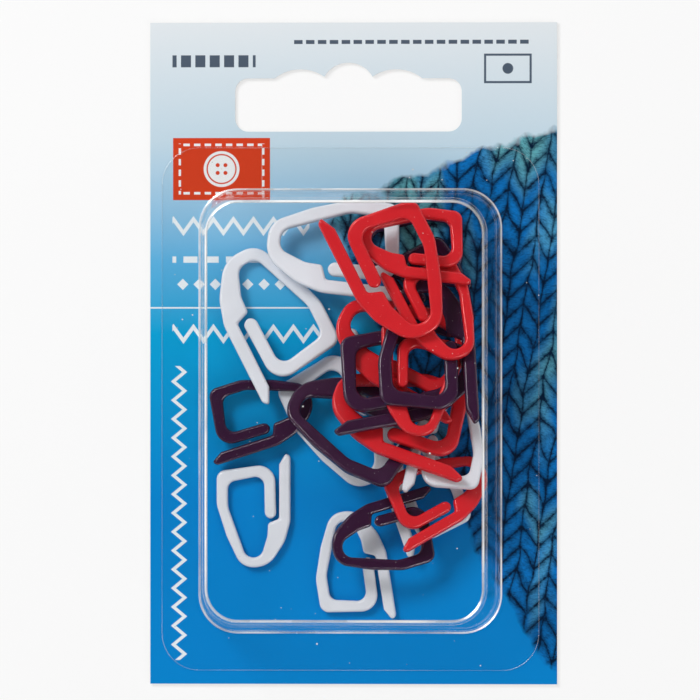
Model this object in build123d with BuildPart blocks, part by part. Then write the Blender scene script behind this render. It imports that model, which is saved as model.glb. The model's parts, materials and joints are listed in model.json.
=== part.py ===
from build123d import *
import math
import os
from typing import NamedTuple

os.makedirs("parts", exist_ok=True)

# A carded pack of locking stitch markers: a printed card with a hang slot, a clear blister
# sealed to its face, and a loose pile of moulded plastic markers in two sizes inside it.
# The pack lies on its back. X runs to its right, Y towards the hang slot and Z out of its
# face, with the origin at the middle of the card's back. Millimetres and degrees.

# Card
card_width = 65.0
card_length = 105.5
card_thickness = 0.5

# Hang slot, with its three bumps on the upper edge
slot_offset = -0.8
slot_width = 36.2
slot_height = 8.5
slot_top_margin = 8.9
slot_corner = 2.1
bump_radius = 4.42
bump_rise = 2.5
side_bump_radius = 6.66
side_bump_rise = 1.45
side_bump_spacing = 7.65

# Blister: its heat-sealed flange and its drawn bubble
blister_offset = -0.5
flange_width = 60.4
flange_length = 83.5
flange_corner = 6.0
flange_centre = -8.9
bubble_width = 48.0
bubble_length = 70.5
bubble_corner = 6.0
bubble_centre = -9.2
bubble_draft = 5.5
blister_wall = 0.35
rim_radius = 1.2
rim_relief_share = 0.42
lid_clearance = 0.15
wall_clearance = 0.15


class MarkerSize(NamedTuple):
    """Named sizes of one size of marker, seen with its needle on the right."""

    length: float
    width: float
    bar: float
    needle: float
    gap: float
    tail: float


# Markers. The bar is the moulded rod, the needle its springy leg, the gap lies between the
# needle and the post, and the tail is how far the needle runs past the base.
marker_thickness = 1.5
large_length = 21.8
large_width = 15.6
large_bar = 2.2
large_needle = 2.1
large_gap = 0.9
large_tail = 2.1
small_length = 16.6
small_width = 11.8
small_bar = 1.8
small_needle = 1.8
small_gap = 0.62
small_tail = 1.5
marker_sizes = {
    "large": MarkerSize(
        large_length, large_width, large_bar, large_needle, large_gap, large_tail
    ),
    "small": MarkerSize(
        small_length, small_width, small_bar, small_needle, small_gap, small_tail
    ),
}

# The needle's spring travel, and how far apart the markers lie in the pile
needle_opening = 6.0
pile_gap = 0.12
side_gap = 0.12
outline_step = 0.8
cut_overrun = 2.0
seating_passes = 3

# Shape of the outline. Each corner is a share of the width, a share of the length and a
# fillet radius as a share of the bar. The small corners of the shoulder and the tips are
# left sharp.
flank_shares = [
    (0.0, 0.40, 2.5),
    (0.135, 0.70, 3.0),
    (0.335, 1.0, 1.6),
    (0.70, 1.0, 2.2),
    (0.925, 0.75, 3.0),
    (1.0, 0.56, 2.5),
]
window_shares = [
    (0.60, 0.905, 0.9),
    (0.40, 0.905, 0.9),
]
heel_rise_share = 0.075
heel_radius_share = 0.85
heel_inner_radius_share = 0.75
window_side_share = 0.42
window_side_radius_share = 2.0
window_foot_share = 1.05
window_foot_radius_share = 0.8
post_height_share = 0.53
post_lean_share = 0.01
post_tip_cut_share = 0.32
base_corner_radius_share = 1.45
tail_heel_share = 0.75
tail_tip_share = 1.1
tail_tip_inset_share = 0.4
tail_rise_share = 0.01
needle_root_share = 0.535
shoulder_share = 0.575
shoulder_inset_share = 0.35
flexure_inset_share = 0.30
flexure_share = 0.70
flexure_radius_share = 1.5

# Where the ring ends and the springy arm begins
hinge_across_share = 0.5
parting_share = 0.553
parting_low_share = 0.537

# The pile, from the card upwards: colour, size, whether the marker lies face down, the place
# of its middle as shares of the bubble, its heading in degrees anticlockwise, and how far its
# right side and its upper side lean upwards in degrees.
pile_shares = [
    ("white", "large", True, -0.022, -0.023, 204, 0, 0),
    ("white", "small", True, 0.246, -0.176, 19, 0, 0),
    ("white", "small", False, 0.002, -0.344, 9, 0, 0),
    ("purple", "small", False, 0.115, -0.286, 108, -11, -7),
    ("purple", "small", True, 0.214, 0.373, 84, 0, 0),
    ("white", "small", True, -0.321, -0.236, 180, 0, 0),
    ("red", "small", False, 0.300, -0.182, -58, -8, -13),
    ("white", "small", True, 0.336, -0.070, -10, -4, -23),
    ("purple", "small", False, 0.288, 0.272, 216, 2, 13),
    ("purple", "small", False, -0.292, -0.002, -72, 0, 0),
    ("purple", "large", False, 0.016, -0.033, 68, -4, -23),
    ("red", "large", True, 0.172, -0.004, 72, -8, -22),
    ("white", "large", True, -0.259, 0.224, 27, 0, -9),
    ("red", "large", True, 0.177, 0.149, 62, -5, -14),
    ("purple", "large", False, 0.197, 0.082, -78, -5, -15),
    ("red", "small", False, 0.243, 0.059, 182, -5, -15),
    ("white", "large", True, -0.044, 0.373, 83, 2, -12),
    ("purple", "large", False, 0.292, 0.147, 4, -5, -15),
    ("red", "small", False, 0.310, 0.224, 208, -5, -15),
    ("red", "small", True, 0.222, 0.380, 84, -5, -15),
    ("red", "large", False, 0.173, 0.333, 207, -1, -3),
]
# The large purple marker whose needle lies along the blister's wall can open only this far.
walled_marker = "purple_large_3"
walled_opening = 2.0


def marker_corners(size):
    """Corners of a marker's outline and the fillet radius at each, starting at its heel."""
    width, length, bar = size.width, size.length, size.bar
    needle_inner = width - size.needle
    post_outer = needle_inner - size.gap
    post_inner = post_outer - bar
    lean = post_lean_share * width
    heel = heel_rise_share * length
    tip = post_height_share * length
    tip_cut = post_tip_cut_share * bar
    corners = [(0, heel, heel_radius_share * bar)]
    corners += [(x * width, y * length, r * bar) for x, y, r in flank_shares]
    corners += [
        (width, -tail_heel_share * size.tail, 0),
        (width - tail_tip_inset_share * size.needle, -tail_tip_share * size.tail, 0),
        (needle_inner, tail_rise_share * length, 0),
        (needle_inner, needle_root_share * length, 0),
        (post_inner + shoulder_inset_share * bar, shoulder_share * length, 0),
        (post_inner + flexure_inset_share * bar, flexure_share * length, flexure_radius_share * bar),
    ]
    corners += [(x * width, y * length, r * bar) for x, y, r in window_shares]
    corners += [
        (bar, window_side_share * length, window_side_radius_share * bar),
        (bar, heel + bar, heel_inner_radius_share * bar),
        (post_inner, window_foot_share * bar, window_foot_radius_share * bar),
        (post_inner + lean, tip - tip_cut, 0),
        (post_inner + lean + tip_cut, tip, 0),
        (post_outer + lean - tip_cut, tip, 0),
        (post_outer + lean, tip - tip_cut, 0),
        (post_outer - lean, 0, base_corner_radius_share * bar),
    ]
    return corners


def arm_corners(size):
    """Corners of the region that holds the springy arm: half the bow, the shoulder and needle."""
    width, length = size.width, size.length
    needle_inner = width - size.needle
    gap_middle = needle_inner - size.gap / 2
    shoulder = needle_inner - size.gap - (1 - shoulder_inset_share) * size.bar
    hinge_across = hinge_across_share * width
    return [
        (hinge_across, length + cut_overrun),
        (width + cut_overrun, length + cut_overrun),
        (width + cut_overrun, -size.tail - cut_overrun),
        (gap_middle, -size.tail - cut_overrun),
        (gap_middle, parting_low_share * length),
        (shoulder, parting_share * length),
        (hinge_across, parting_share * length),
    ]


def marker_plane(size, location):
    """The plane that carries a marker's outline, with the middle of the marker at a location."""
    return Plane(location * Location((-size.width / 2, -size.length / 2, 0)))


def marker_face(size, plane):
    """The marker's outline as a sketch on a plane."""
    corners = marker_corners(size)
    points = [(x, y) for x, y, radius in corners]
    radii = [radius for x, y, radius in corners]
    with BuildSketch(plane) as face:
        with BuildLine():
            FilletPolyline(*points, radius=radii, close=True)
        make_face()
    return face.sketch


def arm_region(size, plane):
    """The region of the arm as a sketch on a plane."""
    with BuildSketch(plane) as region:
        with BuildLine():
            Polyline(*arm_corners(size), close=True)
        make_face()
    return region.sketch


def moulded_marker(size, location):
    """A whole marker, moulded in one piece, to both sides of its parting line."""
    with BuildPart() as marker:
        extrude(marker_face(size, marker_plane(size, location)), amount=marker_thickness / 2, both=True)
    return marker.part


def marker_ring(size, location):
    """The stiff part of a marker: half the bow, the plain side, the base and the post."""
    plane = marker_plane(size, location)
    with BuildPart() as ring:
        add(moulded_marker(size, location))
        extrude(arm_region(size, plane), amount=marker_thickness, both=True, mode=Mode.SUBTRACT)
    return ring.part


def marker_arm(size, location):
    """The springy part of a marker: the other half of the bow and the needle."""
    plane = marker_plane(size, location)
    with BuildPart() as arm:
        add(moulded_marker(size, location))
        extrude(arm_region(size, plane), amount=marker_thickness, both=True, mode=Mode.INTERSECT)
    return arm.part


def loop_points(face):
    """Points along the outer edge of a flat face, as pairs, about one outline step apart."""
    wire = face.outer_wire()
    count = math.ceil(wire.length / outline_step)
    return [(point.X, point.Y) for point in (wire @ (i / count) for i in range(count))]


def turned(points, centre, angle):
    """Points turned anticlockwise about a centre."""
    cosine = math.cos(math.radians(angle))
    sine = math.sin(math.radians(angle))
    arms = [(x - centre[0], y - centre[1]) for x, y in points]
    return [(centre[0] + x * cosine - y * sine, centre[1] + x * sine + y * cosine) for x, y in arms]


def hinge_point(size):
    """The hinge of the arm, at the top of the bow, from the middle of the marker."""
    return ((hinge_across_share - 1 / 2) * size.width, size.length / 2)


def marker_loops(size, opening):
    """Loops that a marker sweeps: its outline, and its arm sprung half and fully open."""
    plane = marker_plane(size, Location())
    with BuildSketch() as whole:
        add(marker_face(size, plane))
        offset(amount=side_gap)
    with BuildSketch() as arm:
        add(whole.sketch)
        add(arm_region(size, plane), mode=Mode.INTERSECT)
    arm_points = loop_points(arm.sketch.face())
    opened = [turned(arm_points, hinge_point(size), opening * share) for share in (1 / 2, 1)]
    return [loop_points(whole.sketch.face())] + opened


def inside(point, loop):
    """True where a point lies within a closed loop of points."""
    x, y = point
    within = False
    for (x0, y0), (x1, y1) in zip(loop, loop[1:] + loop[:1]):
        if (y0 > y) != (y1 > y) and x < x0 + (y - y0) * (x1 - x0) / (y1 - y0):
            within = not within
    return within


class Footprint:
    """A marker seen from above: its loops, the slope of its middle plane and its thickness."""

    def __init__(self, loops, location):
        plane = Plane(location)
        normal = plane.z_dir
        self.slope = (-normal.X / normal.Z, -normal.Y / normal.Z)
        self.half = marker_thickness / 2 / abs(normal.Z)
        self.loops = []
        for loop in loops:
            points = [plane.from_local_coords((x, y)) for x, y in loop]
            self.loops.append([(p.X, p.Y) for p in points])
        self.points = [p for loop in self.loops for p in loop]
        self.left = min(x for x, y in self.points)
        self.right = max(x for x, y in self.points)
        self.low = min(y for x, y in self.points)
        self.high = max(y for x, y in self.points)
        self.centre = (plane.origin.X, plane.origin.Y)
        self.height = 0

    def middle(self, point):
        """Height of the marker's middle plane over a point."""
        rise = [s * (p - c) for s, p, c in zip(self.slope, point, self.centre)]
        return self.height + sum(rise)

    def covers(self, point):
        """True where the marker or its swinging arm lies over or under a point."""
        if not (self.left < point[0] < self.right and self.low < point[1] < self.high):
            return False
        return any(inside(point, loop) for loop in self.loops)


def resting_height(laid, upper):
    """The lowest height at which a marker clears the card and all the markers under it."""
    height = max(upper.half + pile_gap / 2 - upper.middle(point) for point in upper.points)
    for lower in laid:
        shared = [point for point in upper.points if lower.covers(point)]
        shared += [point for point in lower.points if upper.covers(point)]
        for point in shared:
            clear = lower.middle(point) + lower.half + pile_gap + upper.half
            height = max(height, clear - upper.middle(point))
    return height


def wall_push(footprint, height):
    """How far a marker must slide, across and along, to clear the bubble's drafted walls."""
    inset = blister_wall + wall_clearance
    draft = math.tan(math.radians(bubble_draft))
    across, along = 0, 0
    for x, y in footprint.points:
        top = height + footprint.middle((x, y)) + footprint.half
        side_room = bubble_width / 2 - inset - top * draft
        end_room = bubble_length / 2 - inset - top * draft
        across = min(across, side_room - (x - blister_offset))
        along = min(along, end_room - (y - bubble_centre))
    return across, along


def seat_marker(loops, place, turns, laid):
    """Seat a marker on the pile, clear of the bubble's walls: its footprint and its location."""
    face_down, heading, rise_right, rise_up = turns
    push = (0, 0)
    for _ in range(seating_passes):
        place = (place[0] + push[0], place[1] + push[1])
        lean = Location((*place, 0), (rise_up, -rise_right, heading))
        flat = lean * Location((0, 0, 0), (0, 180 * face_down, 0))
        footprint = Footprint(loops, flat)
        height = resting_height(laid, footprint)
        push = wall_push(footprint, height)
    footprint.height = height
    return footprint, Location((0, 0, card_thickness + height)) * flat


def pile_up():
    """Lay the markers one on another: their names, sizes and locations, and the pile's height."""
    counts = {}
    laid = []
    pile = []
    for colour, size_name, face_down, across, along, heading, rise_right, rise_up in pile_shares:
        kind = f"{colour}_{size_name}"
        counts[kind] = counts.get(kind, 0) + 1
        name = f"{kind}_{counts[kind]}"
        opening = walled_opening if name == walled_marker else needle_opening
        loops = swept_loops[size_name, opening]
        place = (blister_offset + across * bubble_width, bubble_centre + along * bubble_length)
        turns = (face_down, heading, rise_right, rise_up)
        footprint, location = seat_marker(loops, place, turns, laid)
        laid.append(footprint)
        pile.append((name, marker_sizes[size_name], location))
    return pile, max(f.middle(point) + f.half for f in laid for point in f.loops[0])


# The markers, each split into its ring and its springy arm
swept_loops = {
    (name, opening): marker_loops(size, opening)
    for name, size in marker_sizes.items()
    for opening in (needle_opening, walled_opening)
}
pile, pile_height = pile_up()
for name, size, location in pile:
    ring = marker_ring(size, location)
    ring.label = f"{name}_ring"
    arm = marker_arm(size, location)
    arm.label = f"{name}_arm"
    for piece in (ring, arm):
        export_step(piece, f"parts/{piece.label}.step")
bubble_depth = pile_height + lid_clearance + blister_wall
print(f"Pile height {pile_height:.2f} mm, bubble depth {bubble_depth:.2f} mm")

# Card, with its hang slot
slot_top = card_length / 2 - slot_top_margin
slot_middle = slot_top - slot_height / 2


def bump(radius, rise, across):
    """A round bump on the slot's upper edge, rising above it by a given height."""
    with Locations((slot_offset + across, slot_top + rise - radius)):
        Circle(radius)


with BuildPart() as card:
    with BuildSketch():
        Rectangle(card_width, card_length)
        with Locations((slot_offset, slot_middle)):
            RectangleRounded(slot_width, slot_height, slot_corner, mode=Mode.SUBTRACT)
        with BuildSketch(mode=Mode.SUBTRACT) as bumps:
            bump(bump_radius, bump_rise, 0)
            bump(side_bump_radius, side_bump_rise, -side_bump_spacing)
            bump(side_bump_radius, side_bump_rise, side_bump_spacing)
            with Locations((slot_offset, slot_middle)):
                Rectangle(slot_width, slot_height, align=(Align.CENTER, Align.MIN), mode=Mode.INTERSECT)
    extrude(amount=card_thickness)
card.part.label = "card"
export_step(card.part, "parts/card.step")

# Blister: a drafted bubble with a soft rim on a sealing flange, hollowed by a drafted cavity
face_level = Plane.XY.offset(card_thickness)
bubble_level = face_level.shift_origin((blister_offset, bubble_centre, card_thickness))
with BuildPart() as cavity:
    with BuildSketch(bubble_level):
        RectangleRounded(
            bubble_width - 2 * blister_wall,
            bubble_length - 2 * blister_wall,
            bubble_corner - blister_wall,
        )
    extrude(amount=bubble_depth - blister_wall, taper=bubble_draft)
    cavity_rim = cavity.faces().sort_by(Axis.Z)[-1].edges()
    chamfer(cavity_rim, rim_relief_share * rim_radius)
with BuildPart() as blister:
    with BuildSketch(bubble_level):
        RectangleRounded(bubble_width, bubble_length, bubble_corner)
    extrude(amount=bubble_depth, taper=bubble_draft)
    rim = blister.faces().sort_by(Axis.Z)[-1].edges()
    fillet(rim, rim_radius)
    with BuildSketch(face_level):
        with Locations((blister_offset, flange_centre)):
            RectangleRounded(flange_width, flange_length, flange_corner)
    extrude(amount=blister_wall)
    add(cavity.part, mode=Mode.SUBTRACT)
blister.part.label = "blister"
export_step(blister.part, "parts/blister.step")
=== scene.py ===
import json
import math

import bmesh
import bpy
from bpy.props import FloatProperty, FloatVectorProperty, IntProperty, PointerProperty
from mathutils import Matrix, Vector

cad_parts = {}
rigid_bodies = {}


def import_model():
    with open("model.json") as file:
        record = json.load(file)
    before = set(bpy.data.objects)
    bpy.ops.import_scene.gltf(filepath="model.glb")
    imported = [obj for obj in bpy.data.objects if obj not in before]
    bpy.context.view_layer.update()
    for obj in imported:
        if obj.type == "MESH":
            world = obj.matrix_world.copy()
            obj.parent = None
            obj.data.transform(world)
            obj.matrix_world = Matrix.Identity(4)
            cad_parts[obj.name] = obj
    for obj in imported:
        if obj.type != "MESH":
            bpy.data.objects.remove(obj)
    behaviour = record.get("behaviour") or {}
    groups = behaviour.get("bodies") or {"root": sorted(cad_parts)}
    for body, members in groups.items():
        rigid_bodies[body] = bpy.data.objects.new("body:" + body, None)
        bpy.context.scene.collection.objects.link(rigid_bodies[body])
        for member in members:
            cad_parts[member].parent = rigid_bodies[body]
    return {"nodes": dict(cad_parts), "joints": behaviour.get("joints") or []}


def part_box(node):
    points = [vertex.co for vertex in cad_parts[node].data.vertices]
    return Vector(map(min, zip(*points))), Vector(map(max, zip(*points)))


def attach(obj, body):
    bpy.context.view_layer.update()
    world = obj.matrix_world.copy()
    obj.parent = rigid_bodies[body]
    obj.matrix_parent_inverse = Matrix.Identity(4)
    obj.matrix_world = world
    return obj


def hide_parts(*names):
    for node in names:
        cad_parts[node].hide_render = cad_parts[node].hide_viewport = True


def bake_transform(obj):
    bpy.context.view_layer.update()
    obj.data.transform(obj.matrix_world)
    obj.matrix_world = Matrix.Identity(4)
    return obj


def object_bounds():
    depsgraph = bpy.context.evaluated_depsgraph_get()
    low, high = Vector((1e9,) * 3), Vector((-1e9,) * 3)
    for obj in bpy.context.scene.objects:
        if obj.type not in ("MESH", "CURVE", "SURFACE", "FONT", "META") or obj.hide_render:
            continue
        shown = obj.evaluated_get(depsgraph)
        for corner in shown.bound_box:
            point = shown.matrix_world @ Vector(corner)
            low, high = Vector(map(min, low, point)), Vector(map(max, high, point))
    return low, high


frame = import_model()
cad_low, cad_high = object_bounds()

bl_info = {
    "name": "Stitch Marker Pack",
    "version": (1, 0, 0),
    "blender": (4, 5, 0),
    "location": "View3D > Sidebar > Markers",
    "description": "Dresses a carded blister pack of stitch markers around its packed frame",
    "category": "Object",
}

MM = 0.001
PRINT_EDGE = 0.08  # millimetres over which a printed shape fades


def shade(red, green, blue):
    """A display colour, 0 to 255, as linear values."""
    parts = [c / 255 for c in (red, green, blue)]
    return tuple(c / 12.92 if c <= 0.04045 else ((c + 0.055) / 1.055) ** 2.4 for c in parts)


def dimmed(tone, factor):
    """A linear colour times a number."""
    return tuple(c * factor for c in tone)


def length(name, description, default):
    """A length in metres that a user may change."""
    return FloatProperty(
        name=name, description=description, default=default, min=0, precision=5, unit="LENGTH"
    )


def offset(name, description, default):
    """A place along an axis, in metres, to either side of 0."""
    return FloatProperty(
        name=name, description=description, default=default, precision=5, unit="LENGTH"
    )


def angle(name, description, degrees):
    """An angle, given in degrees."""
    return FloatProperty(
        name=name, description=description, default=math.radians(degrees), subtype="ANGLE"
    )


def amount(name, description, default):
    """A plain number that isn't negative."""
    return FloatProperty(name=name, description=description, default=default, min=0)


def count(name, description, default):
    """A whole number of segments."""
    return IntProperty(name=name, description=description, default=default, min=1, max=32)


def share(name, description, default):
    """A plain share, from 0 to 1."""
    return FloatProperty(
        name=name, description=description, default=default, min=0, max=1, subtype="FACTOR"
    )


def colour(name, description, default):
    """A linear colour."""
    return FloatVectorProperty(
        name=name, description=description, default=default, min=0, max=1, size=3, subtype="COLOR"
    )


class MarkerSettings(bpy.types.PropertyGroup):
    """Sizes and colours of the moulded markers."""

    edge: length("Edge radius", "Rounding of the moulded edges", 0.45 * MM)
    edge_segments: count("Edge segments", "Segments round an edge", 4)
    bend: length("Bend", "Stretch of the bow that bends as the needle opens", 4 * MM)
    white: colour("White", "Plastic of the white markers", (0.84, 0.85, 0.91))
    red: colour("Red", "Plastic of the red markers", (0.74, 0.016, 0.024))
    purple: colour("Purple", "Plastic of the purple markers", (0.040, 0.009, 0.037))
    roughness: share("Roughness", "Roughness of the plastic", 0.24)


class FilmSettings(bpy.types.PropertyGroup):
    """Sizes and finish of the clear blister."""

    width: length("Width", "Width of the bubble at its foot", 48 * MM)
    length: length("Length", "Length of the bubble at its foot", 70.5 * MM)
    corner: length("Corner", "Corner radius of the bubble and the flange", 6 * MM)
    offset_x: offset("Offset X", "Middle of the bubble across the card", -0.5 * MM)
    offset_y: offset("Offset Y", "Middle of the bubble along the card", -9.2 * MM)
    draft: angle("Draft", "Draft of the walls", 5.5)
    rim: length("Rim radius", "Radius between the lid and the walls", 1.2 * MM)
    rim_segments: count("Rim segments", "Segments round the rim", 8)
    foot: length("Foot radius", "Radius between the walls and the flange", 0.4 * MM)
    foot_segments: count("Foot segments", "Segments round the foot", 5)
    wall: length("Wall", "Thickness of the film", 0.33 * MM)
    seal: length("Seal", "Layer of lacquer that seals the flange to the card", 0.01 * MM)
    chamfer: length("Chamfer", "Bevel of the flange's cut edge", 0.08 * MM)
    corner_segments: count("Corner segments", "Segments round a corner", 14)
    reflection: share("Reflection", "Reflection of the film seen square on", 0.012)
    grazing: share("Grazing reflection", "Further reflection of the film seen edge on", 0.40)
    tint: colour("Tint", "Tint of the film", (0.995, 1.0, 1.0))


class CardSettings(bpy.types.PropertyGroup):
    """Colours of the printed card."""

    board: colour("Board", "Bare board at the cut edges and on the back", shade(236, 235, 230))
    sky: colour("Sky", "Print at the top edge", shade(228, 234, 238))
    haze: colour("Haze", "Print under the hang slot", shade(196, 218, 231))
    middle: colour("Middle", "Print beside the label", shade(94, 178, 224))
    deep: colour("Deep", "Print over the middle", shade(3, 161, 214))
    foot: colour("Foot", "Print at the foot", shade(0, 133, 208))
    label: colour("Label", "Block at the upper left", shade(213, 65, 33))
    ink: colour("Ink", "Dark ink of the header", shade(28, 52, 78))
    button: colour("Button", "Button and running stitch on the label", (0.86, 0.87, 0.88))
    stitches: colour("Stitches", "Rows of plain stitches", (0.84, 0.88, 0.91))
    knit_light: colour("Light yarn", "Pale yarn of the knitted picture", shade(112, 196, 208))
    knit_middle: colour("Middle yarn", "Middle yarn of the knitted picture", shade(6, 118, 196))
    knit_dark: colour("Dark yarn", "Shadow between the stitches", shade(3, 26, 52))
    gloss: share("Print roughness", "Roughness of the coated print", 0.28)
    matt: share("Board roughness", "Roughness of the bare board", 0.72)


class StageSettings(bpy.types.PropertyGroup):
    """Camera, lamps and floor."""

    lean: angle("Lean", "Camera off the vertical", 3.6)
    aim_x: offset("Aim X", "Middle of the picture across the card", -0.558 * MM)
    aim_y: offset("Aim Y", "Middle of the picture along the card", 0.518 * MM)
    aim_z: offset("Aim Z", "Height at which the picture has its width", 0.5 * MM)
    lens: amount("Lens", "Focal length in millimetres", 600)
    view: length("View", "Width of the picture at the card", 111.65 * MM)
    sky: share("Sky", "Strength of the even light", 0.48)
    gleam: share("Gleam", "Strength of the even light in reflections", 0.02)
    horizon: amount("Horizon", "Strength of the low light in reflections", 1.1)
    fill_box: amount("Fill box", "Strength of the light box on the right in reflections", 8)
    key_box: amount("Key box", "Strength of the light box on the left in reflections", 12)
    key_size: length("Key size", "Side of the key lamp", 300 * MM)
    key_power: amount("Key power", "Power of the key lamp in watts", 4.9)
    fill_size: length("Fill size", "Side of the fill lamp", 500 * MM)
    fill_power: amount("Fill power", "Power of the fill lamp in watts", 1.4)
    floor: colour("Floor", "Floor", (0.95, 0.95, 0.95))
    floor_reach: length("Floor reach", "Floor from its middle to its sides", 2000 * MM)
    floor_drop: length("Floor drop", "Gap between the floor and the card's back", 0.2 * MM)


class Paint:
    """A socket of a material's node tree that Python's operators extend."""

    def __init__(self, tree, socket=None):
        self.tree = tree
        self.socket = socket

    def node(self, kind, inputs=None, output=0, stops=None, **settings):
        """Another node: its type, its settings, set first, and its sockets' values or links."""
        made = self.tree.nodes.new(kind)
        for name, value in settings.items():
            setattr(made, name, value)
        if stops:
            ramp = made.color_ramp
            while len(ramp.elements) < len(stops):
                ramp.elements.new(1)
            for element, (position, tone) in zip(ramp.elements, stops):
                element.position = position
                element.color = (*tone, 1)
        for name, value in (inputs or {}).items():
            socket = made.inputs[name]
            if isinstance(value, Paint):
                self.tree.links.new(value.socket, socket)
            elif socket.type == "RGBA":
                socket.default_value = (*value, 1)
            else:
                socket.default_value = value
        return Paint(self.tree, made.outputs[output])

    def math(self, operation, *others):
        """This value and others through a Math node."""
        return self.node("ShaderNodeMath", dict(enumerate((self, *others))), operation=operation)

    def __add__(self, other):
        return self.math("ADD", other)

    __radd__ = __add__

    def __sub__(self, other):
        return self.math("SUBTRACT", other)

    def __rsub__(self, other):
        return self.node("ShaderNodeMath", {0: other, 1: self}, operation="SUBTRACT")

    def __mul__(self, other):
        return self.math("MULTIPLY", other)

    __rmul__ = __mul__

    def __truediv__(self, other):
        return self.math("DIVIDE", other)

    def __pow__(self, other):
        return self.math("POWER", other)

    def __lt__(self, other):
        return self.math("LESS_THAN", other)

    def __or__(self, other):
        """The larger of the two."""
        return self.math("MAXIMUM", other)

    def __abs__(self):
        return self.math("ABSOLUTE")

    def fraction(self):
        """The part after the point."""
        return self.math("FRACT")

    def clamped(self):
        """Held between 0 and 1."""
        return self.node("ShaderNodeClamp", {"Value": self})

    def between(self, low, high, soft):
        """1 between two values and 0 outside them, with soft edges."""
        return ((self - low) / soft).clamped() * ((high - self) / soft).clamped()

    def tint(self, below, above):
        """Mixes two colours: below where this value is 0, above where it is 1."""
        inputs = {0: self, 6: below, 7: above}
        return self.node("ShaderNodeMix", inputs, output=2, data_type="RGBA")

    def scaled(self, factor):
        """A vector times a number."""
        return self.node("ShaderNodeVectorMath", {0: self, "Scale": factor}, operation="SCALE")

    def axes(self):
        """A vector's three values."""
        split = self.node("ShaderNodeSeparateXYZ", {0: self})
        return [Paint(self.tree, socket) for socket in split.socket.node.outputs]

    def joined(self, second, third):
        """A vector of this value and two others."""
        return self.node("ShaderNodeCombineXYZ", {0: self, 1: second, 2: third})

    def noise(self, scale, detail=2.0, roughness=0.5):
        """Noise over this place."""
        inputs = {"Vector": self, "Scale": scale, "Detail": detail, "Roughness": roughness}
        return self.node("ShaderNodeTexNoise", inputs)

    def length(self):
        """The length of a vector."""
        return self.node("ShaderNodeVectorMath", {0: self}, output=1, operation="LENGTH")


def ray_kinds(paint, *kinds):
    """For each kind of ray, 1 where the light path is of that kind."""
    return [paint.node("ShaderNodeLightPath", output=kind) for kind in kinds]


def new_material(name):
    """An empty material: the material, a paint for its tree and its output node."""
    material = bpy.data.materials.new(name)
    material.use_nodes = True
    tree = material.node_tree
    tree.nodes.clear()
    return material, Paint(tree), tree.nodes.new("ShaderNodeOutputMaterial")


def finish_material(paint, output, surface):
    """Links a surface to the material's output."""
    paint.tree.links.new(surface.socket, output.inputs["Surface"])


def moulded_plastic(name, tone, roughness):
    """Glossy moulded plastic with faint flow, sparse pale flecks painted in as speck highlights,
    and a parting line round its edge.
    """
    material, paint, output = new_material(name)
    place = paint.node("ShaderNodeAttribute", output="Vector", attribute_name="mould_place")
    height = place.axes()[2]
    flow = place.noise(0.35, 3.0)
    grain = place.noise(6.0, 3.0, 0.6)
    # painted highlight: sparse flecks lighten the base colour towards a paler tone, standing in
    # for glints of light on the plastic
    speck_highlight = ((place.noise(2.6, 1.0) - 0.72) * 14).clamped()
    pale = tuple(c + (1 - c) * 0.30 for c in tone)
    base = flow.tint(dimmed(tone, 0.86), tone)
    base = (speck_highlight * 0.5).tint(base, pale)
    parting_line = (1 - abs(height) / 0.07).clamped()
    relief = grain * 0.002 + parting_line * 0.05 + flow * 0.12
    normal = paint.node("ShaderNodeBump", {"Height": relief, "Strength": 0.6, "Distance": MM})
    surface = paint.node(
        "ShaderNodeBsdfPrincipled",
        {
            "Base Color": base,
            "Roughness": roughness + flow * 0.12 - 0.06,
            "Normal": normal,
            "IOR": 1.49,
            "Specular IOR Level": 0.5,
        },
    )
    finish_material(paint, output, surface)
    return material


def clear_film(name, film):
    """Thin clear film: it lets light straight through, and reflects more where seen edge on."""
    material, paint, output = new_material(name)
    place = paint.node("ShaderNodeTexCoord", output="Object").scaled(1 / MM)
    facing = paint.node("ShaderNodeLayerWeight", {"Blend": 0.5}, output="Facing")
    spots = {"Vector": place, "Scale": 0.42}
    cells = paint.node("ShaderNodeTexVoronoi", spots, output="Distance")
    speck_size = place.noise(0.5, 1.0) * 0.16 - 0.045
    speck = ((speck_size - cells) * 60).clamped()

    # painted highlight: the film is painted whiter in bands along its rim and its foot, where it
    # turns, in place of the lamps' reflections there
    tilt = abs(paint.node("ShaderNodeNewGeometry", output="Normal").axes()[2])
    rim_highlight_streak = ((place.noise(0.07, 2.0) - 0.36) * 4).clamped() * 0.5 + 0.5
    painted_rim_highlight = (tilt.between(0.79, 0.95, 0.03) + tilt.between(0.36, 0.52, 0.03) * 0.5) * rim_highlight_streak
    # the white part of the film: real dust specks plus the painted rim highlight
    white = (speck + painted_rim_highlight).clamped()

    waves = place.noise(0.12, 2.0)
    bump = {"Height": waves, "Strength": 0.18, "Distance": 0.6 * MM}
    normal = paint.node("ShaderNodeBump", bump)
    mirror = paint.node(
        "ShaderNodeBsdfPrincipled",
        {
            "Base Color": (1.0, 1.0, 1.0),
            "Metallic": 1 - white,
            "Roughness": 0.06 + white * 0.3,
            "Normal": normal,
        },
    )
    through = paint.node("ShaderNodeBsdfTransparent", {"Color": film.tint[:]})
    # the film's reflection, plus the dust specks and the painted rim highlight, which the mixed
    # surface shows as white
    shine = (facing ** 4) * film.grazing + film.reflection + speck * 0.75 + painted_rim_highlight
    surface = paint.node("ShaderNodeMixShader", {0: shine.clamped(), 1: through, 2: mirror})
    finish_material(paint, output, surface)
    return material


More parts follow.
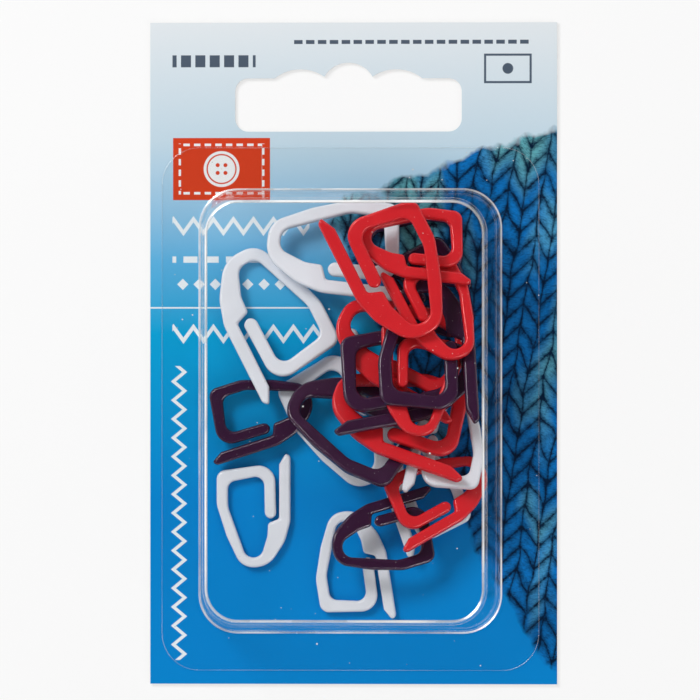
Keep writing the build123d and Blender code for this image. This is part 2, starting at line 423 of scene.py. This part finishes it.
def knitted(place, card):
    """A picture of plain knitting: strands of yarn that lean to either side of each column."""
    x, y = place.axes()[:2]
    turn = math.radians(-9)
    column_width = 5.4
    row_height = 3.5
    across = x * math.cos(turn) + y * math.sin(turn)
    along = y * math.cos(turn) - x * math.sin(turn)
    sway = place.noise(0.10, 2.0)
    column = (across + sway * 2.8) / column_width
    leg = abs(column.fraction() - 0.5) * 2
    phase = (along + sway * 3.4) / row_height - leg * 0.95
    strand = phase.fraction()
    round_over = 1 - (strand * 2 - 1) ** 2
    side = 1 - ((leg * 2 - 1) ** 2) ** 3
    fibre_place = (column * 3).joined(phase * 9 + leg * 6, 0.0)
    fibre = fibre_place.noise(2.2, 5.0, 0.75)
    body = (round_over ** 0.8) * side
    fuzz = place.noise(0.9, 5.0, 0.8)
    light = (body * (fibre * 2.8 - 0.5) + (fuzz - 0.53) * 1.9).clamped()
    tone = column.joined(phase * 0.35, 3.0).noise(0.55, 2.0)
    rise = ((y + 5) / 60).clamped()
    pale = ((tone - 0.53 + rise * 0.34) * 4.5).clamped()
    yarn = pale.tint(card.knit_middle[:], card.knit_light[:])
    patch = ((place.noise(0.075, 2.0) - 0.40) * 4).clamped() * 0.42 + 0.68
    return (light * patch).tint(card.knit_dark[:], yarn)


def field(x, left, right, y, low, high):
    """1 inside a rectangle of the card, in millimetres, and 0 outside it."""
    return x.between(left, right, PRINT_EDGE) * y.between(low, high, PRINT_EDGE)


def dashes(along, pitch, part):
    """1 on the first part of every pitch along a line."""
    return (along / pitch).fraction() < part


def zigzag(along, across, pitch, rise, half_width):
    """1 on a zigzag line that runs along one axis and rises from 0 of the other."""
    distance = abs(abs((along / pitch).fraction() - 0.5) * (2 * rise) - across)
    return distance.between(-1.0, half_width, 0.1)


def knitted_area(place, x, y):
    """1 where the knitted picture is printed: right of a curve and under a slope, with fuzz."""
    ragged = place.noise(0.22, 3.0) * 5
    fall = ((y + 55) / 80).clamped()
    left = 36 - (fall ** 0.75) * 41
    top = 25.5 + x * 0.34
    from_left = ((x - left - ragged + 2.5) / 0.9).clamped()
    from_top = ((top - y - ragged + 2.5) / 0.9).clamped()
    return from_left * from_top


def label_stitches(x, y):
    """The running stitch round the inside of the label, and the button at its middle."""
    middle_x, middle_y = -21.1, 29.4
    hole_place, hole_radius = 0.62, 0.36
    inner = field(x, -28.0, -14.2, y, 25.3, 33.5)
    core = field(x, -27.6, -14.6, y, 25.7, 33.1)
    flank = x.between(-27.6, -14.6, 0.01)
    dash = flank * dashes(x, 1.7, 0.6) + (1 - flank) * dashes(y + 0.6, 1.7, 0.6)
    stitch = inner * (1 - core) * dash
    from_middle = (x - middle_x).joined(y - middle_y, 0.0).length()
    button = from_middle.between(0.0, 2.9, PRINT_EDGE)
    button = button * (1 - from_middle.between(2.15, 2.45, PRINT_EDGE))
    hole_x, hole_y = abs(x - middle_x) - hole_place, abs(y - middle_y) - hole_place
    from_hole = hole_x.joined(hole_y, 0.0).length()
    button = button * (1 - from_hole.between(-1.0, hole_radius, PRINT_EDGE))
    return stitch | button


def stitch_rows(x, y):
    """Rows of plain decorative stitches under the label, with a rule between them."""
    upper = x.between(-29.0, -7.0, PRINT_EDGE) * zigzag(x, y - 19.2, 3.2, 2.2, 0.55)
    runs = x.between(-29.0, -11.0, PRINT_EDGE) * y.between(14.4, 15.5, 0.1) * dashes(x, 3.4, 0.66)
    diamond = abs((x / 2.6).fraction() - 0.5) * 2.6 + abs(y - 11.0)
    diamonds = x.between(-28.6, -5.0, PRINT_EDGE) * diamond.between(-1.0, 0.95, 0.1)
    rule = x.between(-32.6, -5.0, PRINT_EDGE) * y.between(7.1, 7.4, 0.06)
    lower = x.between(-29.0, -4.0, PRINT_EDGE) * zigzag(x, y - 2.0, 3.2, 2.2, 0.55)
    return upper | runs | diamonds | rule | lower


def stitch_column(x, y):
    """The column of zigzag stitches at the left of the bubble."""
    return y.between(-49.0, -2.0, PRINT_EDGE) * zigzag(y, x + 28.8, 3.0, 1.8, 0.45)


def header_marks(x, y):
    """The dark dashes at the top of the card, and the outlined box with its bead."""
    thick = field(x, -29.0, -15.6, y, 45.6, 47.6) * dashes(x, 2.3, 0.7)
    thin = x.between(-10.0, 28.5, PRINT_EDGE) * y.between(49.3, 50.0, 0.06) * dashes(x, 1.9, 0.72)
    outer = field(x, 20.8, 28.5, y, 43.0, 47.8)
    hollow = field(x, 21.15, 28.15, y, 43.35, 47.45)
    bead = (x - 24.65).joined(y - 45.4, 0.0).length().between(-1.0, 0.9, PRINT_EDGE)
    return thick | thin | outer * (1 - hollow) | bead


def printed_card(name, card):
    """Coated board: print that deepens from pale to blue, knitting and plain trimmings."""
    material, paint, output = new_material(name)
    place = paint.node("ShaderNodeTexCoord", output="Object").scaled(1 / MM)
    x, y = place.axes()[:2]
    stops = [
        (0.0, card.foot[:]),
        (0.28, card.foot[:]),
        (0.53, card.deep[:]),
        (0.64, card.middle[:]),
        (0.82, card.haze[:]),
        (1.0, card.sky[:]),
    ]
    card_length = (cad_high[1] - cad_low[1]) / MM
    level = (y / card_length + 0.5).clamped()
    base = paint.node("ShaderNodeValToRGB", {"Fac": level}, stops=stops)
    knit = knitted_area(place, x, y)
    base = knit.tint(base, knitted(place, card))
    base = field(x, -28.9, -13.3, y, 24.4, 34.4).tint(base, card.label[:])
    base = label_stitches(x, y).tint(base, card.button[:])
    base = (stitch_rows(x, y) * (1 - knit)).tint(base, card.stitches[:])
    base = stitch_column(x, y).tint(base, card.stitches[:])
    base = (header_marks(x, y) * 0.9).tint(base, card.ink[:])

    # print only on the face; the cut edges and the back are bare board
    normal_z = paint.node("ShaderNodeNewGeometry", output="Normal").axes()[2]
    face = ((normal_z - 0.5) * 20).clamped()
    fibres = place.noise(3.0, 4.0, 0.7)
    speckle = place.noise(1.4, 4.0, 0.6)
    board = fibres.tint(dimmed(card.board, 0.82), card.board[:])
    relief = fibres * 0.010 + speckle * 0.012
    normal = paint.node("ShaderNodeBump", {"Height": relief, "Strength": 0.5, "Distance": MM})
    surface = paint.node(
        "ShaderNodeBsdfPrincipled",
        {
            "Base Color": face.tint(board, base),
            "Roughness": card.matt - face * (card.matt - card.gloss) + speckle * 0.08,
            "Normal": normal,
            "IOR": 1.46,
            "Specular IOR Level": 0.15,
        },
    )
    finish_material(paint, output, surface)
    return material


def studio_floor(name, tone):
    """Pale floor that keeps a soft shadow and shows as white."""
    material, paint, output = new_material(name)
    place = paint.node("ShaderNodeTexCoord", output="Object").scaled(1 / MM)
    grain = place.noise(0.05, 3.0)
    under = grain.tint(dimmed(tone, 0.985), tone)
    matt = paint.node("ShaderNodeBsdfDiffuse", {"Color": under, "Roughness": 1.0})
    glow = paint.node("ShaderNodeEmission", {"Color": (1.0, 1.0, 1.0), "Strength": 1.0})
    camera, glossy, through = ray_kinds(
        paint, "Is Camera Ray", "Is Glossy Ray", "Is Transmission Ray"
    )
    seen = camera | glossy | through
    surface = paint.node("ShaderNodeMixShader", {0: seen * 0.6, 1: matt, 2: glow})
    finish_material(paint, output, surface)
    return material


def cad_mesh(name, matrix):
    """A copy of a CAD node's mesh in another frame, with doubles merged and flats made whole."""
    bm = bmesh.new()
    bm.from_mesh(frame["nodes"][name].data)
    bmesh.ops.transform(bm, matrix=matrix, verts=bm.verts)
    bmesh.ops.remove_doubles(bm, verts=bm.verts, dist=0.002)
    bmesh.ops.dissolve_limit(bm, angle_limit=math.radians(1), verts=bm.verts, edges=bm.edges)
    return bm


def new_piece(name, bm, material, sharp):
    """A smooth piece made of a bmesh, which is freed. Edges over an angle stay sharp."""
    for face in bm.faces:
        face.smooth = True
    mesh = bpy.data.meshes.new(name)
    bm.to_mesh(mesh)
    bm.free()
    mesh.set_sharp_from_angle(angle=math.radians(sharp))
    mesh.materials.append(material)
    piece = bpy.data.objects.new(name, mesh)
    bpy.context.scene.collection.objects.link(piece)
    return piece


def weigh_normals(piece, weight):
    """Shades the large faces of a piece flat."""
    weighted = piece.modifiers.new("Weighted normals", "WEIGHTED_NORMAL")
    weighted.keep_sharp = True
    weighted.weight = weight


def bevel(bm, geom, size, segments, affect="EDGES"):
    """Rounds edges, or corners, of a bmesh."""
    bmesh.ops.bevel(
        bm,
        geom=geom,
        offset=size,
        offset_type="OFFSET",
        segments=segments,
        profile=0.5,
        affect=affect,
        clamp_overlap=False,
        material=-1,
    )


def marker_matrix(joint):
    """A marker's frame in millimetres, at the top of its bow: X to its needle, Y along it."""
    bow = Vector(joint["pos_m"])
    facing = Vector(joint["axis"]).normalized()
    bm = cad_mesh(joint["child"], Matrix.Scale(1 / MM, 4))
    longest = max(bm.edges, key=lambda edge: edge.calc_length())
    start, end = (vert.co.copy() for vert in longest.verts)
    bm.free()
    along = (end - start).normalized()
    if along.dot(bow / MM - (start + end) / 2) < 0:
        along.negate()
    across = along.cross(facing).normalized()
    matrix = Matrix((across, along, facing)).transposed().to_4x4()
    return Matrix.Translation(bow) @ matrix @ Matrix.Scale(MM, 4)


def moulded_edges(bm):
    """A marker's sharp edges and tips, apart from the cut at the top of its bow."""
    return [
        edge
        for edge in bm.edges
        if len(edge.link_faces) == 2
        and edge.calc_face_angle(0) > math.radians(35)
        and any(abs(vert.co.x) >= 0.01 for vert in edge.verts)
    ]


def moulding(node, matrix, markers, plastic):
    """One half of a marker, with the edges that its mould gives it."""
    bm = cad_mesh(node, matrix.inverted())
    bevel(bm, moulded_edges(bm), markers.edge / MM, markers.edge_segments)
    # the plastic has its flow and its parting line in the marker's own frame
    layer = bm.verts.layers.float_vector.new("mould_place")
    for vert in bm.verts:
        vert[layer] = vert.co
    bmesh.ops.transform(bm, matrix=matrix, verts=bm.verts)
    bmesh.ops.recalc_face_normals(bm, faces=bm.faces)
    piece = new_piece(f"{node}_moulding", bm, plastic, 50)
    weigh_normals(piece, 90)
    return piece


class MARKERPACK_OT_markers(bpy.types.Operator):
    """Make the moulded markers, each in two halves that meet at the top of its bow"""

    bl_idname = "markerpack.markers"
    bl_label = "Markers"

    def execute(self, context):
        markers = context.scene.marker_pack_markers
        plastics = {
            name: moulded_plastic(f"{name}_plastic", getattr(markers, name)[:], markers.roughness)
            for name in ("white", "red", "purple")
        }
        for joint in frame["joints"]:
            arm = joint["child"]
            ring = arm.replace("_arm", "_ring")
            tone = arm.split("_")[0]
            matrix = marker_matrix(joint)
            for node in (ring, arm):
                piece = moulding(node, matrix, markers, plastics[tone])
                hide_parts(node)
                if node == ring:
                    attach(piece, joint["parent"])
                else:
                    end = matrix @ Vector((markers.bend / MM, 0, 0))
                    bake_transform(piece)
        return {"FINISHED"}


def rounded_plate(bm, width, height, film):
    """A flat plate at the origin, in millimetres, with the blister's corners: its one face."""
    verts = bmesh.ops.create_grid(bm, x_segments=1, y_segments=1, size=0.5)["verts"]
    bmesh.ops.scale(bm, vec=(width, height, 1), verts=verts)
    bevel(bm, verts, film.corner / MM, film.corner_segments, affect="VERTICES")
    return max(bm.faces, key=lambda face: len(face.verts))


def bubble_skin(film, flange_top, depth):
    """The outside of the bubble in millimetres, open at its foot."""
    bm = bmesh.new()
    plate = rounded_plate(bm, film.width / MM, film.length / MM, film)
    raised = bmesh.ops.extrude_face_region(bm, geom=[plate])["geom"]
    bmesh.ops.delete(bm, geom=[plate], context="FACES_ONLY")
    lid_verts = [item for item in raised if isinstance(item, bmesh.types.BMVert)]
    lid = next(item for item in raised if isinstance(item, bmesh.types.BMFace))
    inset = 2 * depth * math.tan(film.draft)
    shrink = (1 - inset / film.width, 1 - inset / film.length, 1)
    bmesh.ops.scale(bm, vec=shrink, verts=lid_verts)
    bmesh.ops.translate(bm, vec=(0, 0, depth / MM), verts=lid_verts)
    middle = Vector((film.offset_x, film.offset_y, flange_top)) / MM
    bmesh.ops.translate(bm, vec=middle, verts=bm.verts)
    # how far from the lid's sharp edge the rim's radius starts
    tangent = film.rim / MM * math.tan((math.pi / 2 - film.draft) / 2)
    bevel(bm, list(lid.edges), tangent, film.rim_segments)
    return bm


def flange_border(film, low, high, flange_top):
    """The flange's cut edge in millimetres: a rounded outline with a bevel, open inside it."""
    bm = bmesh.new()
    face = rounded_plate(bm, (high.x - low.x) / MM, (high.y - low.y) / MM, film)
    bmesh.ops.inset_region(
        bm,
        faces=[face],
        thickness=film.chamfer / MM,
        depth=0,
        use_boundary=True,
        use_even_offset=True,
    )
    # the bevel is lower than it is wide
    drop = film.chamfer / MM * 0.6
    bmesh.ops.translate(bm, vec=(0, 0, drop), verts=face.verts)
    centre = Vector(((low.x + high.x) / 2, (low.y + high.y) / 2, flange_top)) / MM
    centre.z -= drop
    bmesh.ops.translate(bm, vec=centre, verts=bm.verts)
    bmesh.ops.delete(bm, geom=[face], context="FACES_ONLY")
    return bm


def edges_at(bm, level):
    """The edges that lie at one level."""
    return [
        edge for edge in bm.edges if all(abs(vert.co.z - level) < 1e-3 for vert in edge.verts)
    ]


def blister_skin(film, low, high):
    """The outside of the blister in millimetres: bubble, foot and flange in one skin."""
    flange_top = low.z + film.wall + film.seal
    bm = bubble_skin(film, flange_top, high.z - flange_top)
    border = flange_border(film, low, high, flange_top)
    mesh = bpy.data.meshes.new("flange_border")
    border.to_mesh(mesh)
    border.free()
    bm.from_mesh(mesh)
    bpy.data.meshes.remove(mesh)

    # the flange's face spans from the border to the foot of the bubble
    open_edges = [edge for edge in edges_at(bm, flange_top / MM) if len(edge.link_faces) < 2]
    bmesh.ops.bridge_loops(bm, edges=open_edges)
    foot = [
        edge
        for edge in edges_at(bm, flange_top / MM)
        if len(edge.link_faces) == 2 and edge.calc_face_angle(0) > math.radians(45)
    ]
    bevel(bm, foot, film.foot / MM, film.foot_segments)

    # an open skin can come out of the recalculation inside out
    bmesh.ops.recalc_face_normals(bm, faces=bm.faces)
    lid = max(bm.faces, key=lambda face: face.calc_center_median().z)
    if lid.normal.z < 0:
        bmesh.ops.reverse_faces(bm, faces=bm.faces)
    return bm


class MARKERPACK_OT_film(bpy.types.Operator):
    """Make the clear blister: a drafted bubble with soft edges and its sealed flange"""

    bl_idname = "markerpack.film"
    bl_label = "Blister"

    def execute(self, context):
        film = context.scene.marker_pack_film
        bm = blister_skin(film, *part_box("blister"))
        bmesh.ops.scale(bm, vec=(MM, MM, MM), verts=bm.verts)
        piece = new_piece("blister_film", bm, clear_film("clear_film", film), 25)
        wall = piece.modifiers.new("Wall", "SOLIDIFY")
        wall.thickness = film.wall
        wall.offset = -1
        weigh_normals(piece, 50)
        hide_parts("blister")
        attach(piece, "pack")
        return {"FINISHED"}


class MARKERPACK_OT_card(bpy.types.Operator):
    """Print the card"""

    bl_idname = "markerpack.card"
    bl_label = "Card"

    def execute(self, context):
        material = printed_card("printed_card", context.scene.marker_pack_card)
        node = frame["nodes"]["card"]
        node.material_slots[0].material = material
        return {"FINISHED"}


def lay_floor(stage):
    """A wide floor under the card."""
    bm = bmesh.new()
    bmesh.ops.create_grid(bm, x_segments=1, y_segments=1, size=stage.floor_reach)
    mesh = bpy.data.meshes.new("floor")
    bm.to_mesh(mesh)
    bm.free()
    mesh.materials.append(studio_floor("studio_floor", stage.floor[:]))
    floor = bpy.data.objects.new("floor", mesh)
    floor.location.z = -stage.floor_drop
    bpy.context.scene.collection.objects.link(floor)


def light_box(axes, toward, border, sharpness):
    """1 where a direction meets a far light box, whose border is at a cosine, and 0 beside it."""
    east, north, up = axes
    cosine = east * toward[0] + north * toward[1] + up * toward[2]
    return ((cosine - border) * sharpness).clamped()


def light_world(stage):
    """A white background, an even light, and a horizon and light boxes for reflections."""
    world = bpy.data.worlds.new("studio")
    world.use_nodes = True
    bpy.context.scene.world = world
    tree = world.node_tree
    tree.nodes.clear()
    paint = Paint(tree)
    camera, glossy, through = ray_kinds(
        paint, "Is Camera Ray", "Is Glossy Ray", "Is Transmission Ray"
    )
    axes = paint.node("ShaderNodeTexCoord", output="Generated").axes()
    horizon = (1 - axes[2]).clamped() ** 2
    fill_box = light_box(axes, (0.53, -0.58, 0.62), 0.95, 30)
    key_box = light_box(axes, (-0.437, 0.499, 0.749), 0.972, 60)
    glare = horizon * stage.horizon + fill_box * stage.fill_box
    glare = glare + key_box * stage.key_box + stage.gleam
    plain, even, mirrored = [
        paint.node("ShaderNodeBackground", {"Color": (1.0, 1.0, 1.0), "Strength": strength})
        for strength in (1.0, stage.sky, glare)
    ]
    light = paint.node("ShaderNodeMixShader", {0: glossy, 1: even, 2: mirrored})
    light = paint.node("ShaderNodeMixShader", {0: camera | through, 1: light, 2: plain})
    tree.links.new(light.socket, tree.nodes.new("ShaderNodeOutputWorld").inputs["Surface"])


def area_lamp(name, place, side, power):
    """A soft square lamp that points at the card. Reflections see a light box in its place."""
    lamp = bpy.data.lights.new(name, "AREA")
    lamp.shape = "SQUARE"
    lamp.size = side
    lamp.energy = power
    holder = bpy.data.objects.new(name, lamp)
    bpy.context.scene.collection.objects.link(holder)
    holder.location = place
    holder.rotation_euler = (-Vector(place)).to_track_quat("-Z", "Y").to_euler()
    holder.visible_glossy = False


def aim_camera(stage):
    """A long lens that looks down at the card, a little off the vertical."""
    camera = bpy.data.cameras.new("camera")
    camera.lens = stage.lens
    camera.sensor_width = 36
    camera.clip_end = 50
    holder = bpy.data.objects.new("camera", camera)
    bpy.context.scene.collection.objects.link(holder)
    bpy.context.scene.camera = holder
    distance = stage.view * stage.lens / camera.sensor_width
    target = Vector((stage.aim_x, stage.aim_y, stage.aim_z))
    back = Vector((math.sin(stage.lean), 0, math.cos(stage.lean)))
    holder.location = target + back * distance
    holder.rotation_euler = (0, stage.lean, 0)


class MARKERPACK_OT_stage(bpy.types.Operator):
    """Set up the floor, the lamps and the camera"""

    bl_idname = "markerpack.stage"
    bl_label = "Stage"

    def execute(self, context):
        stage = context.scene.marker_pack_stage
        lay_floor(stage)
        light_world(stage)
        area_lamp("key_lamp", (-0.42, 0.48, 0.72), stage.key_size, stage.key_power)
        area_lamp("fill_lamp", (0.60, -0.50, 0.60), stage.fill_size, stage.fill_power)
        aim_camera(stage)
        context.scene.view_settings.view_transform = "Standard"
        return {"FINISHED"}


class MARKERPACK_PT_panel(bpy.types.Panel):
    """Steps that dress the pack"""

    bl_label = "Stitch Marker Pack"
    bl_idname = "MARKERPACK_PT_panel"
    bl_space_type = "VIEW_3D"
    bl_region_type = "UI"
    bl_category = "Markers"

    def draw(self, context):
        for step in STEPS:
            self.layout.operator(step.bl_idname)


STEPS = (MARKERPACK_OT_stage, MARKERPACK_OT_card, MARKERPACK_OT_markers, MARKERPACK_OT_film)
GROUPS = {
    "marker_pack_markers": MarkerSettings,
    "marker_pack_film": FilmSettings,
    "marker_pack_card": CardSettings,
    "marker_pack_stage": StageSettings,
}


def register():
    for made in (*GROUPS.values(), *STEPS, MARKERPACK_PT_panel):
        bpy.utils.register_class(made)
    for name, group in GROUPS.items():
        setattr(bpy.types.Scene, name, PointerProperty(type=group))


def unregister():
    for name in GROUPS:
        delattr(bpy.types.Scene, name)
    for made in reversed((*GROUPS.values(), *STEPS, MARKERPACK_PT_panel)):
        bpy.utils.unregister_class(made)


def main():
    register()
    bpy.ops.markerpack.stage()
    bpy.ops.markerpack.card()
    bpy.ops.markerpack.markers()
    bpy.ops.markerpack.film()


if __name__ == "__main__":
    main()
